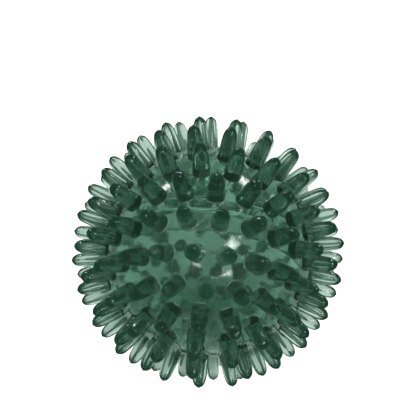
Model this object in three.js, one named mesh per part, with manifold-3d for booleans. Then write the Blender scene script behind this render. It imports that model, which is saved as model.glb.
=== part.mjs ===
// Transparent spiked massage ball: two moulded half shells with solid spikes, welded along a
// lapped seam, and a filling valve with a pull-out stopper at one pole.
// Millimetres. The origin is the ball's centre and +Y is the polar axis, out through the valve.
import * as THREE from 'three';
import { mergeVertices } from 'three/addons/utils/BufferGeometryUtils.js';
import Module from 'manifold-3d';

const wasm = await Module();
wasm.setup();

// Driving dimensions
const OVERALL_RADIUS = 50;
const SPIKE_LENGTH = 11;
const SHELL_RADIUS = OVERALL_RADIUS - SPIKE_LENGTH;
const WALL = 2.4;
const GAP = 0.3;

// Spikes: rows at one pitch from each other, as far apart as the spikes of the middle row
const SPIKES_IN_MIDDLE_ROW = 26;
const ROW_PITCH = 2 * Math.PI / SPIKES_IN_MIDDLE_ROW;
const SPIKE_BASE_RADIUS = 3;
const SPIKE_SHOULDER_RADIUS = 2.1;
const SPIKE_ROOT_DEPTH = WALL / 2;
const SPIKE_SIDES = 6;

// Row 0 is the middle row, and rows count up towards the valve. The stagger is how far a row
// is turned about the polar axis, as a share of its own pitch.
const ROWS = [
  { row: 5, count: 10, stagger: 0.7 },
  { row: 4, count: 14, stagger: 0.8 },
  { row: 3, count: 18, stagger: 0.55 },
  { row: 2, count: 22, stagger: 0.45 },
  { row: 1, count: 24, stagger: 0.7 },
  { row: 0, count: SPIKES_IN_MIDDLE_ROW, stagger: 0.25 },
  { row: -1, count: 25, stagger: 0.45 },
  { row: -2, count: 24, stagger: 0.75 },
  { row: -3, count: 20, stagger: 0.2 },
  { row: -4, count: 15, stagger: 0.05 },
  { row: -5, count: 8, stagger: 0.95 },
  { row: -6, count: 2, stagger: 0.95 },
];

// Seam: a plane half a row below the middle row. The valve half has a lip that laps inside the
// plain half, and a thickened root where the lip joins the wall.
const SEAM_Y = -SHELL_RADIUS * Math.sin(ROW_PITCH / 2);
const LIP_HEIGHT = 5.6;
const LIP_THICKNESS = 0.9;
const LIP_ROOT = 4;

// Valve
const VALVE_LAND_RADIUS = 7;
const VALVE_HOLE_RADIUS = 4.5;
const SEAT_FLANGE_RADIUS = 6.2;
const SEAT_FLANGE_THICKNESS = 1.2;
const SEAT_LENGTH = 4.5;
const NEEDLE_BORE_RADIUS = 1.9;
const PLUG_HEAD_RADIUS = 4.6;
const PLUG_HEAD_THICKNESS = 1.3;
const PLUG_STEM_LENGTH = 7;
const EDGE_ROUND = 0.35;

// Facets
const SHELL_SEGMENTS = 32;
const OUTER_ARC_STEPS = 9;
const INNER_ARC_STEPS = 7;
const VALVE_SEGMENTS = 20;

const INNER_RADIUS = SHELL_RADIUS - WALL;
const VALVE_LAND_Y = Math.sqrt(SHELL_RADIUS ** 2 - VALVE_LAND_RADIUS ** 2);

const shellMaterial = () => new THREE.MeshStandardMaterial({
  color: 0x4a7f6c, roughness: 0.08, metalness: 0, transparent: true, opacity: 0.5,
});
const valveMaterial = () => new THREE.MeshStandardMaterial({
  color: 0x35604f, roughness: 0.2, metalness: 0, transparent: true, opacity: 0.8,
});

const point = (radius, y) => new THREE.Vector2(radius, y);

// Points on a circle about the origin, from one height to another
function arc(radius, fromY, toY, steps) {
  const fromAngle = Math.asin(fromY / radius);
  const toAngle = Math.asin(toY / radius);
  const points = [];
  for (let i = 0; i <= steps; i++) {
    const angle = fromAngle + (toAngle - fromAngle) * i / steps;
    const onAxis = Math.abs(Math.abs(angle) - Math.PI / 2) < 1e-9;
    points.push(point(onAxis ? 0 : radius * Math.cos(angle), radius * Math.sin(angle)));
  }
  return points;
}

function toSolid(geometry) {
  const mesh = new wasm.Mesh({
    numProp: 3,
    vertProperties: new Float32Array(geometry.attributes.position.array),
    triVerts: new Uint32Array(geometry.index.array),
  });
  return new wasm.Manifold(mesh);
}

function toGeometry(solid) {
  const mesh = solid.getMesh();
  const geometry = new THREE.BufferGeometry();
  geometry.setAttribute('position', new THREE.BufferAttribute(new Float32Array(mesh.vertProperties), 3));
  geometry.setIndex(new THREE.BufferAttribute(new Uint32Array(mesh.triVerts), 1));
  geometry.computeVertexNormals();
  return geometry;
}

// An outline turned about the polar axis. The lathe leaves faces of no area where the outline
// meets the axis, and these are dropped.
function turnedSolid(outline, segments) {
  const lathe = new THREE.LatheGeometry(outline, segments);
  lathe.deleteAttribute('normal');
  lathe.deleteAttribute('uv');
  const geometry = mergeVertices(lathe, 1e-4);
  const index = geometry.index.array;
  const kept = [];
  for (let i = 0; i < index.length; i += 3) {
    const [a, b, c] = [index[i], index[i + 1], index[i + 2]];
    if (a !== b && b !== c && c !== a) kept.push(a, b, c);
  }
  geometry.setIndex(kept);
  return toSolid(geometry);
}

// One spike on the polar axis, its root inside the shell wall and its tip at the overall radius
function spikeSolid() {
  const base = SHELL_RADIUS;
  return turnedSolid([
    point(0, base - SPIKE_ROOT_DEPTH),
    point(SPIKE_BASE_RADIUS, base - SPIKE_ROOT_DEPTH),
    point(SPIKE_SHOULDER_RADIUS, base + SPIKE_LENGTH - SPIKE_SHOULDER_RADIUS),
    point(0, base + SPIKE_LENGTH),
  ], SPIKE_SIDES);
}

// Where the spikes of one row point: latitude from the middle, longitude from +Z towards +X
function spikeDirections({ row, count, stagger }) {
  const latitude = row * ROW_PITCH;
  const directions = [];
  for (let i = 0; i < count; i++) {
    const longitude = (i + stagger) * 2 * Math.PI / count;
    directions.push(new THREE.Vector3(
      Math.cos(latitude) * Math.sin(longitude),
      Math.sin(latitude),
      Math.cos(latitude) * Math.cos(longitude),
    ));
  }
  return directions;
}

function withSpikes(skin, rows) {
  const spike = spikeSolid();
  const polarAxis = new THREE.Vector3(0, 1, 0);
  let body = skin;
  for (const row of rows) {
    for (const direction of spikeDirections(row)) {
      const turn = new THREE.Quaternion().setFromUnitVectors(polarAxis, direction);
      const matrix = new THREE.Matrix4().makeRotationFromQuaternion(turn);
      body = body.add(spike.transform(matrix.elements));
    }
  }
  return body;
}

function valveSideShell() {
  const seamY = SEAM_Y + GAP / 2;
  const holeTop = Math.sqrt(INNER_RADIUS ** 2 - VALVE_HOLE_RADIUS ** 2);
  const lipEnd = SEAM_Y - LIP_HEIGHT;
  const lipOuter = Math.sqrt(INNER_RADIUS ** 2 - lipEnd ** 2) - GAP;
  const outline = [
    ...arc(SHELL_RADIUS, seamY, VALVE_LAND_Y, OUTER_ARC_STEPS),
    point(VALVE_HOLE_RADIUS, VALVE_LAND_Y),
    ...arc(INNER_RADIUS, holeTop, SEAM_Y + LIP_ROOT, INNER_ARC_STEPS),
    point(lipOuter - LIP_THICKNESS, seamY),
    point(lipOuter - LIP_THICKNESS, lipEnd),
    point(lipOuter, lipEnd),
    point(lipOuter, seamY),
  ];
  outline.push(outline[0].clone());
  const skin = turnedSolid(outline, SHELL_SEGMENTS);
  return toGeometry(withSpikes(skin, ROWS.filter(({ row }) => row >= 0)));
}

function plainSideShell() {
  const seamY = SEAM_Y - GAP / 2;
  const outline = [
    ...arc(SHELL_RADIUS, -SHELL_RADIUS, seamY, OUTER_ARC_STEPS),
    ...arc(INNER_RADIUS, seamY, -INNER_RADIUS, INNER_ARC_STEPS),
  ];
  const skin = turnedSolid(outline, SHELL_SEGMENTS);
  return toGeometry(withSpikes(skin, ROWS.filter(({ row }) => row < 0)));
}

// A collar glued into the shell's hole, with its flange on the flat land around the hole
function valveSeat() {
  const flangeBottom = VALVE_LAND_Y + GAP;
  const flangeTop = flangeBottom + SEAT_FLANGE_THICKNESS;
  const outline = [
    point(VALVE_HOLE_RADIUS - GAP, flangeBottom - SEAT_LENGTH),
    point(VALVE_HOLE_RADIUS - GAP, flangeBottom),
    point(SEAT_FLANGE_RADIUS, flangeBottom),
    point(SEAT_FLANGE_RADIUS, flangeTop - EDGE_ROUND),
    point(SEAT_FLANGE_RADIUS - EDGE_ROUND, flangeTop),
    point(PLUG_HEAD_RADIUS + GAP, flangeTop),
    point(NEEDLE_BORE_RADIUS, flangeTop),
    point(NEEDLE_BORE_RADIUS, flangeBottom - SEAT_LENGTH),
  ];
  outline.push(outline[0].clone());
  return toGeometry(turnedSolid(outline, VALVE_SEGMENTS));
}

// A mushroom-headed stopper that pushes into the collar's bore
function valvePlug() {
  const headBottom = VALVE_LAND_Y + GAP + SEAT_FLANGE_THICKNESS + GAP;
  const headTop = headBottom + PLUG_HEAD_THICKNESS;
  const stemRadius = NEEDLE_BORE_RADIUS - GAP;
  const stemEnd = headBottom - PLUG_STEM_LENGTH;
  const outline = [
    point(0, stemEnd),
    point(stemRadius * 0.6, stemEnd),
    point(stemRadius, stemEnd + stemRadius),
    point(stemRadius, headBottom),
    point(PLUG_HEAD_RADIUS, headBottom),
    point(PLUG_HEAD_RADIUS, headTop - 2 * EDGE_ROUND),
    point(PLUG_HEAD_RADIUS - 2 * EDGE_ROUND, headTop),
    point(0, headTop),
  ];
  return toGeometry(turnedSolid(outline, VALVE_SEGMENTS));
}

function part(name, geometry, material) {
  const mesh = new THREE.Mesh(geometry, material);
  mesh.name = name;
  return mesh;
}

const ball = new THREE.Group();
ball.add(part('valve_side_shell', valveSideShell(), shellMaterial()));
ball.add(part('plain_side_shell', plainSideShell(), shellMaterial()));
ball.add(part('valve_seat', valveSeat(), valveMaterial()));
ball.add(part('valve_plug', valvePlug(), valveMaterial()));

export default ball;
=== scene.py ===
# Transparent smoke-green spiked massage ball, lying on a pale floor.
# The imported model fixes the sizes. This script makes the fine surfaces, the vinyl, the light and
# the camera. Lengths are in metres, +Z is up, and +Y is the polar axis, out through the valve.
import math
import random

import bmesh
import bpy
from mathutils import Matrix, Vector, noise


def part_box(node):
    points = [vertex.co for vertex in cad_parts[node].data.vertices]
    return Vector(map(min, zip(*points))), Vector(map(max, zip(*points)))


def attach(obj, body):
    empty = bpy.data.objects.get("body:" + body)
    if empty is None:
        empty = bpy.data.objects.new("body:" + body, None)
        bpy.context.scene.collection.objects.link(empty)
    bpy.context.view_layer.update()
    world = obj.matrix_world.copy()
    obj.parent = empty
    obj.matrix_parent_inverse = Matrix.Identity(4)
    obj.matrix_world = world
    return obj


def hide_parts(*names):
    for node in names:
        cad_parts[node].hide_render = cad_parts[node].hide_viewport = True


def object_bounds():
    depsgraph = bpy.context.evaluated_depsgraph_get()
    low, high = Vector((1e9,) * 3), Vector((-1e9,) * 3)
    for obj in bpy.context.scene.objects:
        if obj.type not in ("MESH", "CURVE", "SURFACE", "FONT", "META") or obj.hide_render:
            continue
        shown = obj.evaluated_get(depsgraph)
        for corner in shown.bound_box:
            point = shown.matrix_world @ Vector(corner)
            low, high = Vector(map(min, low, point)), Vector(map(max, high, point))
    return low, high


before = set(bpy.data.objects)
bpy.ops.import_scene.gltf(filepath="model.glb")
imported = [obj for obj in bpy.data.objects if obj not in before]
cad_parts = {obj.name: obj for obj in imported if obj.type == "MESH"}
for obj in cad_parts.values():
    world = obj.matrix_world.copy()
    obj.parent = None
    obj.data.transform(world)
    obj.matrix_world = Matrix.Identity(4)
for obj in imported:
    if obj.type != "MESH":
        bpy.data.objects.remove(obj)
cad_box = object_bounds()

MM = 0.001

# Ball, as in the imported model
SPIKE_LENGTH = 11 * MM
SHELL_RADIUS = 39 * MM
WALL = 2.4 * MM
INNER_RADIUS = SHELL_RADIUS - WALL
SPIKES_IN_MIDDLE_ROW = 26
ROW_PITCH = 2 * math.pi / SPIKES_IN_MIDDLE_ROW
# Each row: its number from the middle one towards the valve, how many spikes it has, and how far
# it is turned, as a share of its own pitch
ROWS = [
    (5, 10, 0.7), (4, 14, 0.8), (3, 18, 0.55), (2, 22, 0.45), (1, 24, 0.7),
    (0, SPIKES_IN_MIDDLE_ROW, 0.25),
    (-1, 25, 0.45), (-2, 24, 0.75), (-3, 20, 0.2), (-4, 15, 0.05), (-5, 8, 0.95), (-6, 2, 0.95),
]
SEAM_Y = -SHELL_RADIUS * math.sin(ROW_PITCH / 2)
LIP_HEIGHT = 5.6 * MM
LIP_THICKNESS = 0.9 * MM
LIP_ROOT = 4 * MM
VALVE_LAND_RADIUS = 7 * MM
VALVE_HOLE_RADIUS = 4.5 * MM
VALVE_LAND_Y = math.sqrt(SHELL_RADIUS ** 2 - VALVE_LAND_RADIUS ** 2)

# Weld: a fine groove at the seam, and beside it a raised band on the plain half
SEAM_GAP = 0.04 * MM
SEAM_GROOVE = 0.1 * MM
SEAM_BAND = 1.9 * MM
SEAM_BAND_RISE = 0.2 * MM
SEAM_ROUGHNESS = 0.16 * MM
SEAM_ROUGHNESS_SIZE = 3 * MM
SEAM_INNER_EDGE = INNER_RADIUS + 0.6 * MM

# Spike outline
SPIKE_BASE_RADIUS = 3.08 * MM
SPIKE_ROOT_DEPTH = WALL / 2
SPIKE_SHARPNESS = 8
SPIKE_TAPER = 0.27
FOOT_FLARE = 0.07 * MM
FOOT_HEIGHT = 0.3 * MM
NIB_HEIGHT = 0.1 * MM
NIB_RADIUS = 0.45 * MM
SPIKE_SIDES = 20
SPIKE_RINGS = 13
SPIKE_LEAN_DEG = 1.2

# Inside of the wall: a shrink mark under each spike, and slow waves left by the moulding
SHRINK_DEPTH = 0.55 * MM
SHRINK_WIDTH = 1.7 * MM
WAVE_DEPTH = 0.12 * MM
WAVE_SIZE = 9 * MM

# Vinyl: the tint and added roughness of inner faces, and a faint painted glow of its own colour that
# stands for light scattered in the slightly cloudy vinyl, which grows along each spike from a foot left
# without glow
VINYL_IOR = 1.5
INNER_TINT = (0.50, 0.81, 0.675)
INNER_DULLNESS = 0.08
# Painted glow: light of the vinyl's own green given off by its surfaces, weaker on the wall, stronger
# on the spikes
PAINTED_CLOUD_GLOW = (0.005, 0.0145, 0.009)
PAINTED_SPIKE_GLOW = (0.008, 0.024, 0.0155)
# The painted glow is left off the foot of each spike and ramps up over the next length, so the feet
# stay darker
GLOW_FREE_FOOT = 1.2 * MM
GLOW_RAMP = 0.4 * SPIKE_LENGTH
MOTTLE_SCALE = 60
SMEAR_SCALE = 180
GRAIN_SCALE = 420
GRAIN_HEIGHT = 0.08 * MM

# Meshes
SHELL_SEGMENTS = 180
OUTER_STEPS = 44
INNER_STEPS = 60
BAND_STEPS = 4
VALVE_SEGMENTS = 72
SHELL_CREASE_DEG = 50
VALVE_CREASE_DEG = 40
ON_AXIS = 1e-7
CLOSE = 1e-6
SEED = 7


def new_object(name, mesh):
    piece = bpy.data.objects.new(name, mesh)
    bpy.context.scene.collection.objects.link(piece)
    return piece


def arc(radius, from_y, to_y, steps):
    """Points (distance from the polar axis, height) on a circle about the origin."""
    low = math.asin(max(-1.0, from_y / radius))
    high = math.asin(min(1.0, to_y / radius))
    angles = [low + (high - low) * i / steps for i in range(steps + 1)]
    return [(max(0.0, radius * math.cos(a)), radius * math.sin(a)) for a in angles]


def lathe(name, outline, segments, closed):
    """Turn an outline about the polar axis. An open outline starts and ends on the axis."""
    bm = bmesh.new()
    rings = []
    for radius, y in outline:
        if radius < ON_AXIS:
            rings.append([bm.verts.new((0, y, 0))])
            continue
        turns = [2 * math.pi * i / segments for i in range(segments)]
        rings.append([bm.verts.new((radius * math.sin(t), y, radius * math.cos(t))) for t in turns])
    pairs = list(zip(rings, rings[1:]))
    if closed:
        pairs.append((rings[-1], rings[0]))
    for low, high in pairs:
        for i in range(segments):
            j = (i + 1) % segments
            if len(low) == 1 and len(high) == 1:
                continue
            if len(low) == 1:
                bm.faces.new((low[0], high[j], high[i]))
            elif len(high) == 1:
                bm.faces.new((low[i], low[j], high[0]))
            else:
                bm.faces.new((low[i], low[j], high[j], high[i]))
    bmesh.ops.recalc_face_normals(bm, faces=bm.faces)
    mesh = bpy.data.meshes.new(name)
    bm.to_mesh(mesh)
    bm.free()
    return mesh


def spike_directions(row, count, stagger):
    latitude = row * ROW_PITCH
    longitudes = [(i + stagger) * 2 * math.pi / count for i in range(count)]
    across = math.cos(latitude)
    return [
        Vector((across * math.sin(lon), math.sin(latitude), across * math.cos(lon)))
        for lon in longitudes
    ]


def spike_outline():
    """A blunt bullet: slight flare at the foot, tapered sides, round tip and a small moulding nib."""
    foot = SPIKE_BASE_RADIUS + FOOT_FLARE
    points = [(0.0, SHELL_RADIUS - SPIKE_ROOT_DEPTH), (foot, SHELL_RADIUS - SPIKE_ROOT_DEPTH)]
    body = SPIKE_LENGTH - NIB_HEIGHT
    for i in range(SPIKE_RINGS):
        share = math.sin(0.5 * math.pi * i / SPIKE_RINGS)
        height = body * share
        radius = SPIKE_BASE_RADIUS * (1 - SPIKE_TAPER * share) * math.sqrt(1 - share ** SPIKE_SHARPNESS)
        radius += FOOT_FLARE * math.exp(-height / FOOT_HEIGHT)
        points.append((radius, SHELL_RADIUS + height))
    points.append((NIB_RADIUS, SHELL_RADIUS + body))
    points.append((NIB_RADIUS * 0.7, SHELL_RADIUS + SPIKE_LENGTH))
    points.append((0.0, SHELL_RADIUS + SPIKE_LENGTH))
    return points


def spike_field(name, rows, chance):
    """All the spikes of one half, as one mesh of separate solids."""
    single = lathe("spike", spike_outline(), SPIKE_SIDES, closed=False)
    bm = bmesh.new()
    polar_axis = Vector((0, 1, 0))
    for row in rows:
        for direction in spike_directions(*row):
            foot = direction * SHELL_RADIUS
            lean_axis = direction.orthogonal().normalized()
            lean_axis.rotate(Matrix.Rotation(chance.uniform(0, 2 * math.pi), 3, direction))
            lean = Matrix.Rotation(math.radians(chance.gauss(0, SPIKE_LEAN_DEG)), 4, lean_axis)
            place = Matrix.Translation(foot) @ lean @ Matrix.Translation(-foot)
            place = place @ polar_axis.rotation_difference(direction).to_matrix().to_4x4()
            copy = single.copy()
            copy.transform(place)
            bm.from_mesh(copy)
            bpy.data.meshes.remove(copy)
    bpy.data.meshes.remove(single)
    mesh = bpy.data.meshes.new(name)
    bm.to_mesh(mesh)
    bm.free()
    return mesh


def soften_inside(mesh, directions):
    """Press the shrink marks and the slow waves into the inner face of the wall."""
    for vertex in mesh.vertices:
        radius = vertex.co.length
        if abs(radius - INNER_RADIUS) > CLOSE:
            continue
        out = vertex.co / radius
        depth = WAVE_DEPTH * noise.noise(vertex.co / WAVE_SIZE)
        nearest = max(directions, key=out.dot)
        distance = INNER_RADIUS * math.acos(min(1.0, out.dot(nearest)))
        depth += SHRINK_DEPTH * math.exp(-(distance / SHRINK_WIDTH) ** 2)
        vertex.co = out * (radius + depth)


def roughen_seam(mesh):
    """Make the weld uneven: its raised band and the groove wander in and out."""
    for vertex in mesh.vertices:
        x, y, z = vertex.co
        near_seam = SEAM_Y - SEAM_BAND - SEAM_GAP < y < SEAM_Y + 2 * SEAM_GROOVE
        if not near_seam or math.hypot(x, z) < SEAM_INNER_EDGE:
            continue
        if abs(vertex.co.length - SHELL_RADIUS) < CLOSE:
            continue
        wander = SEAM_ROUGHNESS * noise.noise(Vector((x, 8 * y, z)) / SEAM_ROUGHNESS_SIZE)
        vertex.co += wander * Vector((x, 0, z)).normalized()


def joined(name, skin_mesh, spikes_mesh):
    """The wall and its spikes as one clean solid."""
    skin = new_object(name, skin_mesh)
    spikes = new_object(name + "_spikes", spikes_mesh)
    union = skin.modifiers.new("union", "BOOLEAN")
    union.operation = "UNION"
    union.solver = "MANIFOLD"
    union.object = spikes
    graph = bpy.context.evaluated_depsgraph_get()
    mesh = bpy.data.meshes.new_from_object(skin.evaluated_get(graph))
    skin.modifiers.clear()
    skin.data = mesh
    mesh.name = name
    bpy.data.objects.remove(spikes)
    bpy.data.meshes.remove(spikes_mesh)
    bpy.data.meshes.remove(skin_mesh)
    return skin


def shade_shell(mesh):
    """Round shading on the wall, a crisp line where each spike meets it."""
    on_sphere = [abs(v.co.length - SHELL_RADIUS) < 0.02 * MM for v in mesh.vertices]
    is_wall = []
    for face in mesh.polygons:
        radial = face.normal.dot(face.center.normalized())
        is_wall.append(radial > 0.9 and all(on_sphere[v] for v in face.vertices))
    mesh.shade_smooth()
    bm = bmesh.new()
    bm.from_mesh(mesh)
    bm.faces.ensure_lookup_table()
    for edge in bm.edges:
        kinds = {is_wall[face.index] for face in edge.link_faces}
        edge.smooth = len(kinds) == 1 and edge.calc_face_angle(0) < math.radians(SHELL_CREASE_DEG)
    bm.to_mesh(mesh)
    bm.free()
    normals = [Vector((0, 0, 0)) for _ in mesh.loops]
    for face in mesh.polygons:
        if is_wall[face.index]:
            for loop in face.loop_indices:
                normals[loop] = mesh.vertices[mesh.loops[loop].vertex_index].co.normalized()
    mesh.normals_split_custom_set(normals)


def mark_inner_faces(mesh, highest_y):
    """Note which faces look into the hollow or lie in the seam, for the vinyl to treat differently."""
    mark = mesh.attributes.new("inner_face", "FLOAT", "FACE")
    for face in mesh.polygons:
        middle = face.center
        faces_in = face.normal.dot(middle.normalized()) < -0.5 and middle.y < highest_y
        in_seam = abs(middle.y - SEAM_Y) < SEAM_GROOVE and middle.length > SEAM_INNER_EDGE
        mark.data[face.index].value = float(faces_in or in_seam)


def mark_spikes(mesh):
    """Note how far out along a spike each point is, as its share of the painted glow: 0 on the wall, 1
    from the middle of a spike on.
    """
    mark = mesh.attributes.new("spike_glow_share", "FLOAT", "POINT")
    for vertex in mesh.vertices:
        height = vertex.co.length - SHELL_RADIUS
        mark.data[vertex.index].value = max(0.0, min(1.0, (height - GLOW_FREE_FOOT) / GLOW_RAMP))


def shell_piece(name, outline, rows, inner_top, chance):
    meets_axis = outline[0][0] < ON_AXIS
    skin_mesh = lathe(name, outline, SHELL_SEGMENTS, closed=not meets_axis)
    soften_inside(skin_mesh, [d for row in ROWS for d in spike_directions(*row)])
    roughen_seam(skin_mesh)
    piece = joined(name, skin_mesh, spike_field(name + "_spikes", rows, chance))
    shade_shell(piece.data)
    mark_inner_faces(piece.data, inner_top)
    mark_spikes(piece.data)
    return piece


def valve_side_outline():
    seam_y = SEAM_Y + SEAM_GAP / 2
    seam_radius = math.sqrt(SHELL_RADIUS ** 2 - seam_y ** 2)
    hole_top = math.sqrt(INNER_RADIUS ** 2 - VALVE_HOLE_RADIUS ** 2)
    lip_end = SEAM_Y - LIP_HEIGHT
    lip_outer = math.sqrt(INNER_RADIUS ** 2 - lip_end ** 2) - 2 * SEAM_GAP
    return [
        (seam_radius - SEAM_GROOVE, seam_y),
        *arc(SHELL_RADIUS, seam_y + SEAM_GROOVE, VALVE_LAND_Y, OUTER_STEPS),
        (VALVE_HOLE_RADIUS, VALVE_LAND_Y),
        *arc(INNER_RADIUS, hole_top, SEAM_Y + LIP_ROOT, INNER_STEPS),
        (lip_outer - LIP_THICKNESS, seam_y),
        (lip_outer - LIP_THICKNESS, lip_end),
        (lip_outer, lip_end),
        (lip_outer, seam_y),
    ]


def plain_side_outline():
    seam_y = SEAM_Y - SEAM_GAP / 2
    seam_radius = math.sqrt(SHELL_RADIUS ** 2 - seam_y ** 2)
    return [
        *arc(SHELL_RADIUS, -SHELL_RADIUS, seam_y - SEAM_BAND, OUTER_STEPS),
        *arc(SHELL_RADIUS + SEAM_BAND_RISE, seam_y - SEAM_BAND, seam_y - SEAM_GROOVE, BAND_STEPS),
        (seam_radius - SEAM_GROOVE, seam_y),
        *arc(INNER_RADIUS, seam_y, -INNER_RADIUS, INNER_STEPS),
    ]


def smooth_by_angle(mesh, degrees):
    mesh.shade_smooth()
    bm = bmesh.new()
    bm.from_mesh(mesh)
    for edge in bm.edges:
        edge.smooth = edge.calc_face_angle(0) < math.radians(degrees)
    bm.to_mesh(mesh)
    bm.free()


def rounded(outline, radius, steps=5):
    """Round each corner of an outline by walking a quadratic curve across it."""
    points = []
    count = len(outline)
    for i, corner in enumerate(outline):
        before = Vector(outline[i - 1])
        after = Vector(outline[(i + 1) % count])
        corner = Vector(corner)
        if corner.x < ON_AXIS:
            points.append(tuple(corner))
            continue
        cut_before = min(radius, 0.45 * (before - corner).length)
        cut_after = min(radius, 0.45 * (after - corner).length)
        start = corner + (before - corner).normalized() * cut_before
        end = corner + (after - corner).normalized() * cut_after
        for step in range(steps + 1):
            t = step / steps
            points.append(tuple(start * (1 - t) ** 2 + corner * 2 * t * (1 - t) + end * t ** 2))
    return points


def valve_collar():
    """The seat: a flange with a raised bead round it, on a tube through the wall."""
    low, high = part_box("valve_seat")
    flange_radius = high[0]
    top = high[1]
    bore = 1.9 * MM
    tube = VALVE_HOLE_RADIUS - 0.08 * MM
    flange_bottom = VALVE_LAND_Y + 0.03 * MM
    face = top - 0.25 * MM
    bead = flange_radius - 0.75 * MM
    outline = rounded([
        (tube, low[1]), (tube, flange_bottom), (flange_radius, flange_bottom),
        (flange_radius, top), (bead, top), (bead - 0.2 * MM, face),
        (bore + 0.5 * MM, face), (bore, face - 0.5 * MM), (bore, low[1]),
    ], 0.18 * MM)
    mesh = lathe("valve_collar", outline, VALVE_SEGMENTS, closed=True)
    smooth_by_angle(mesh, VALVE_CREASE_DEG)
    return new_object("valve_collar", mesh)


def stopper():
    """The stopper: a dished head with a grip rim, a stem and two sealing rings."""
    low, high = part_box("valve_plug")
    head_radius = high[0]
    top = high[1]
    head_bottom = top - 1.3 * MM
    stem = 1.6 * MM
    ring = 0.18 * MM
    waist = stem - ring
    outline = [(0.0, low[1]), (stem * 0.55, low[1]), (stem, low[1] + stem)]
    for share in (0.38, 0.62):
        y = low[1] + share * (head_bottom - low[1])
        outline += [(waist, y - 2 * ring), (stem, y), (waist, y + 2 * ring)]
    outline += [
        (waist, head_bottom), (head_radius - 0.5 * MM, head_bottom),
        (head_radius, head_bottom + 0.45 * MM), (head_radius, top - 0.4 * MM),
        (head_radius - 0.5 * MM, top), (head_radius - 1.3 * MM, top),
        (head_radius - 1.7 * MM, top - 0.3 * MM), (1.1 * MM, top - 0.3 * MM),
        (0.9 * MM, top - 0.1 * MM), (0.0, top - 0.05 * MM),
    ]
    mesh = lathe("stopper", rounded(outline, 0.15 * MM), VALVE_SEGMENTS, closed=False)
    smooth_by_angle(mesh, VALVE_CREASE_DEG)
    return new_object("stopper", mesh)


def vinyl(name, absorption_per_m, roughness, tint):
    """Clear soft vinyl: colour from its thickness, glossy outside, duller and tinted on inner faces.

    The vinyl is slightly cloudy. Its surfaces carry a painted glow: they give off a little light of
    its own colour, standing in for light scattered in the vinyl, and the outer part of each spike gives
    off more.
    """
    material = bpy.data.materials.new(name)
    material.use_nodes = True
    nodes = material.node_tree.nodes
    links = material.node_tree.links
    surface = nodes["Principled BSDF"]
    surface.inputs["Transmission Weight"].default_value = 1.0
    surface.inputs["IOR"].default_value = VINYL_IOR
    # Painted glow: the surfaces give off light of the vinyl's colour, not sampled as a lamp
    surface.inputs["Emission Strength"].default_value = 1.0
    material.cycles.emission_sampling = "NONE"
    place = nodes.new("ShaderNodeTexCoord").outputs["Object"]

    def pattern(scale, detail):
        texture = nodes.new("ShaderNodeTexNoise")
        texture.inputs["Scale"].default_value = scale
        texture.inputs["Detail"].default_value = detail
        links.new(place, texture.inputs["Vector"])
        return texture.outputs["Fac"]

    def marked(attribute):
        mark = nodes.new("ShaderNodeAttribute")
        mark.attribute_name = attribute
        return mark.outputs["Fac"]

    def colour_mix(share, second):
        mix = nodes.new("ShaderNodeMix")
        mix.data_type = "RGBA"
        mix.inputs["B"].default_value = (*second, 1)
        links.new(share, mix.inputs["Factor"])
        return mix

    inner_face = marked("inner_face")

    # Painted glow colour: weaker on the wall, stronger out along each spike
    painted_glow = colour_mix(marked("spike_glow_share"), PAINTED_SPIKE_GLOW)
    painted_glow.inputs["A"].default_value = (*PAINTED_CLOUD_GLOW, 1)
    links.new(painted_glow.outputs["Result"], surface.inputs["Emission Color"])

    mottle = nodes.new("ShaderNodeValToRGB")
    mottle.color_ramp.elements[0].position = 0.35
    mottle.color_ramp.elements[1].position = 0.65
    mottle.color_ramp.elements[0].color = (*[0.93 * c for c in tint], 1)
    mottle.color_ramp.elements[1].color = (*tint, 1)
    links.new(pattern(MOTTLE_SCALE, 3), mottle.inputs["Fac"])
    face_colour = colour_mix(inner_face, INNER_TINT)
    links.new(mottle.outputs["Color"], face_colour.inputs["A"])
    links.new(face_colour.outputs["Result"], surface.inputs["Base Color"])

    gloss = nodes.new("ShaderNodeMapRange")
    gloss.inputs["From Min"].default_value = 0.35
    gloss.inputs["From Max"].default_value = 0.7
    gloss.inputs["To Min"].default_value = roughness * 0.5
    gloss.inputs["To Max"].default_value = roughness * 1.5
    links.new(pattern(SMEAR_SCALE, 4), gloss.inputs["Value"])
    dullness = nodes.new("ShaderNodeMath")
    dullness.operation = "MULTIPLY_ADD"
    dullness.inputs[1].default_value = INNER_DULLNESS
    links.new(inner_face, dullness.inputs[0])
    links.new(gloss.outputs["Result"], dullness.inputs[2])
    links.new(dullness.outputs["Value"], surface.inputs["Roughness"])

    relief = nodes.new("ShaderNodeBump")
    relief.inputs["Strength"].default_value = 0.5
    relief.inputs["Distance"].default_value = GRAIN_HEIGHT
    links.new(pattern(GRAIN_SCALE, 2), relief.inputs["Height"])
    links.new(relief.outputs["Normal"], surface.inputs["Normal"])

    densest = max(absorption_per_m) * 1.2
    body = nodes.new("ShaderNodeVolumeAbsorption")
    body.inputs["Density"].default_value = densest
    body.inputs["Color"].default_value = (*[1 - a / densest for a in absorption_per_m], 1)
    links.new(body.outputs["Volume"], nodes["Material Output"].inputs["Volume"])
    return material


def floor_material():
    material = bpy.data.materials.new("pale_floor")
    material.use_nodes = True
    nodes = material.node_tree.nodes
    surface = nodes["Principled BSDF"]
    surface.inputs["Base Color"].default_value = (0.86, 0.87, 0.87, 1)
    surface.inputs["Roughness"].default_value = 0.7
    surface.inputs["Specular IOR Level"].default_value = 0.2
    return material


def finish_piece(piece, material, body, slot, *nodes):
    piece.data.materials.clear()
    piece.data.materials.append(material)
    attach(piece, body)
    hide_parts(*nodes)


# Camera: close up, looking down so that the polar axis points up the picture and away
CAMERA_DISTANCE = 5.0 * SHELL_RADIUS
CAMERA_AZIMUTH = math.radians(5.0)
CAMERA_ELEVATION = math.radians(62.7)
SENSOR = 36.0
FOCAL_IN_FRAMES = 1.239
SHIFT_UP = 0.106

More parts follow.
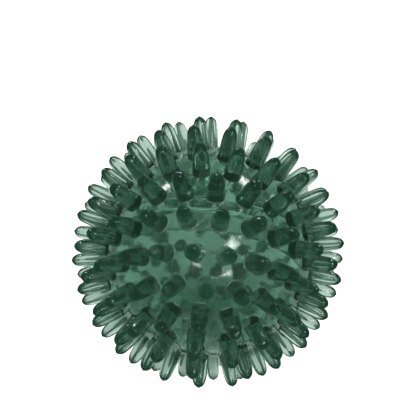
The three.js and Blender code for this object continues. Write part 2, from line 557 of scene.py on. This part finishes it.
camera_data = bpy.data.cameras.new("camera")
camera_data.sensor_width = SENSOR
camera_data.lens = SENSOR * FOCAL_IN_FRAMES
camera_data.shift_y = SHIFT_UP
camera_data.clip_start = 0.005
camera = bpy.data.objects.new("camera", camera_data)
bpy.context.scene.collection.objects.link(camera)
out = Vector((
    math.sin(CAMERA_AZIMUTH) * math.cos(CAMERA_ELEVATION),
    -math.cos(CAMERA_AZIMUTH) * math.cos(CAMERA_ELEVATION),
    math.sin(CAMERA_ELEVATION),
))
camera.location = out * CAMERA_DISTANCE
camera.rotation_euler = (math.pi / 2 - CAMERA_ELEVATION, 0, CAMERA_AZIMUTH)
bpy.context.scene.camera = camera

# The ball
chance = random.Random(SEED)
shell_vinyl = vinyl(
    "shell_vinyl", absorption_per_m=(246, 193, 217), roughness=0.02, tint=(0.98, 1.0, 0.985))
valve_vinyl = vinyl(
    "valve_vinyl", absorption_per_m=(420, 250, 330), roughness=0.12, tint=(0.93, 0.97, 0.94))
valve_rows = [row for row in ROWS if row[0] >= 0]
plain_rows = [row for row in ROWS if row[0] < 0]
lap_end_y = SEAM_Y - LIP_HEIGHT
valve_side = shell_piece("valve_side_skin", valve_side_outline(), valve_rows, SHELL_RADIUS, chance)
plain_side = shell_piece("plain_side_skin", plain_side_outline(), plain_rows, lap_end_y, chance)
finish_piece(valve_side, shell_vinyl, "ball", "shell", "valve_side_shell")
finish_piece(plain_side, shell_vinyl, "ball", "shell", "plain_side_shell")
finish_piece(valve_collar(), valve_vinyl, "ball", "valve", "valve_seat")
finish_piece(stopper(), valve_vinyl, "stopper", "valve", "valve_plug")

# Floor
FLOOR_SIZE = 6.0
floor_z = cad_box[0][2]
floor_mesh = bpy.data.meshes.new("floor")
half = FLOOR_SIZE / 2
corners = [(x, y, floor_z) for x, y in ((-half, -half), (half, -half), (half, half), (-half, half))]
floor_mesh.from_pydata(corners, [], [(0, 1, 2, 3)])
floor = new_object("floor", floor_mesh)
floor_mesh.materials.append(floor_material())
floor.visible_glossy = False


# Light: an even pale room, a soft overhead sun for the floor, windows and small lamps for the gloss
LIGHT_DISTANCE = 0.9
WINDOW_RADIANCE = 14
LAMP_SIZE = 0.04
LAMP_RADIANCE = 450


def world_light(brightness):
    """An even pale room. It lights the floor and the vinyl from inside, but puts no haze on gloss."""
    world = bpy.data.worlds.new("room")
    bpy.context.scene.world = world
    world.use_nodes = True
    world.node_tree.nodes["Background"].inputs["Color"].default_value = (1, 1, 1, 1)
    world.node_tree.nodes["Background"].inputs["Strength"].default_value = brightness
    world.cycles_visibility.glossy = False


def soft_sun(strength):
    data = bpy.data.lights.new("overhead", "SUN")
    data.energy = strength
    data.angle = math.radians(28)
    light = bpy.data.objects.new("overhead", data)
    light.rotation_euler = (math.radians(30), 0, math.radians(5))
    light.visible_glossy = False
    light.visible_transmission = False
    bpy.context.scene.collection.objects.link(light)


def soft_box(name, direction, distance, width, height, radiance):
    data = bpy.data.lights.new(name, "AREA")
    data.shape = "RECTANGLE"
    data.size = width
    data.size_y = height
    data.energy = radiance * math.pi * width * height
    light = bpy.data.objects.new(name, data)
    direction = Vector(direction).normalized()
    light.location = direction * distance
    light.rotation_euler = direction.to_track_quat("Z", "Y").to_euler()
    bpy.context.scene.collection.objects.link(light)
    return light


def window(name, direction, width, height, radiance):
    """A window with a soft edge: a bright middle in front of a larger, dimmer box."""
    behind = LIGHT_DISTANCE + 0.02
    soft_box(name, direction, LIGHT_DISTANCE, 0.7 * width, 0.7 * height, 0.55 * radiance)
    soft_box(name + "_edge", direction, behind, 1.2 * width, 1.2 * height, 0.45 * radiance)


def small_lamp(name, direction):
    """A small bright lamp that only makes points of light on gloss. It adds no shadow to the floor."""
    light = soft_box(name, direction, LIGHT_DISTANCE, LAMP_SIZE, LAMP_SIZE, LAMP_RADIANCE)
    light.visible_transmission = False
    light.visible_diffuse = False


world_light(1.0)
soft_sun(3.5)
window("window_right", (0.42, -0.28, 0.86), 0.2, 0.14, WINDOW_RADIANCE)
window("window_back_right", (0.4, 0.81, 0.42), 0.24, 0.14, WINDOW_RADIANCE)
window("window_back_left", (-0.57, 0.69, 0.45), 0.26, 0.12, WINDOW_RADIANCE)
window("window_front_right", (0.37, -0.7, 0.61), 0.14, 0.05, WINDOW_RADIANCE)
window("window_front_left", (-0.14, -0.64, 0.76), 0.14, 0.04, 8)
small_lamp("lamp_left", (-0.4, 0.68, 0.6))
small_lamp("lamp_right", (0.75, 0.1, 0.65))

bpy.context.scene.view_settings.view_transform = "Standard"
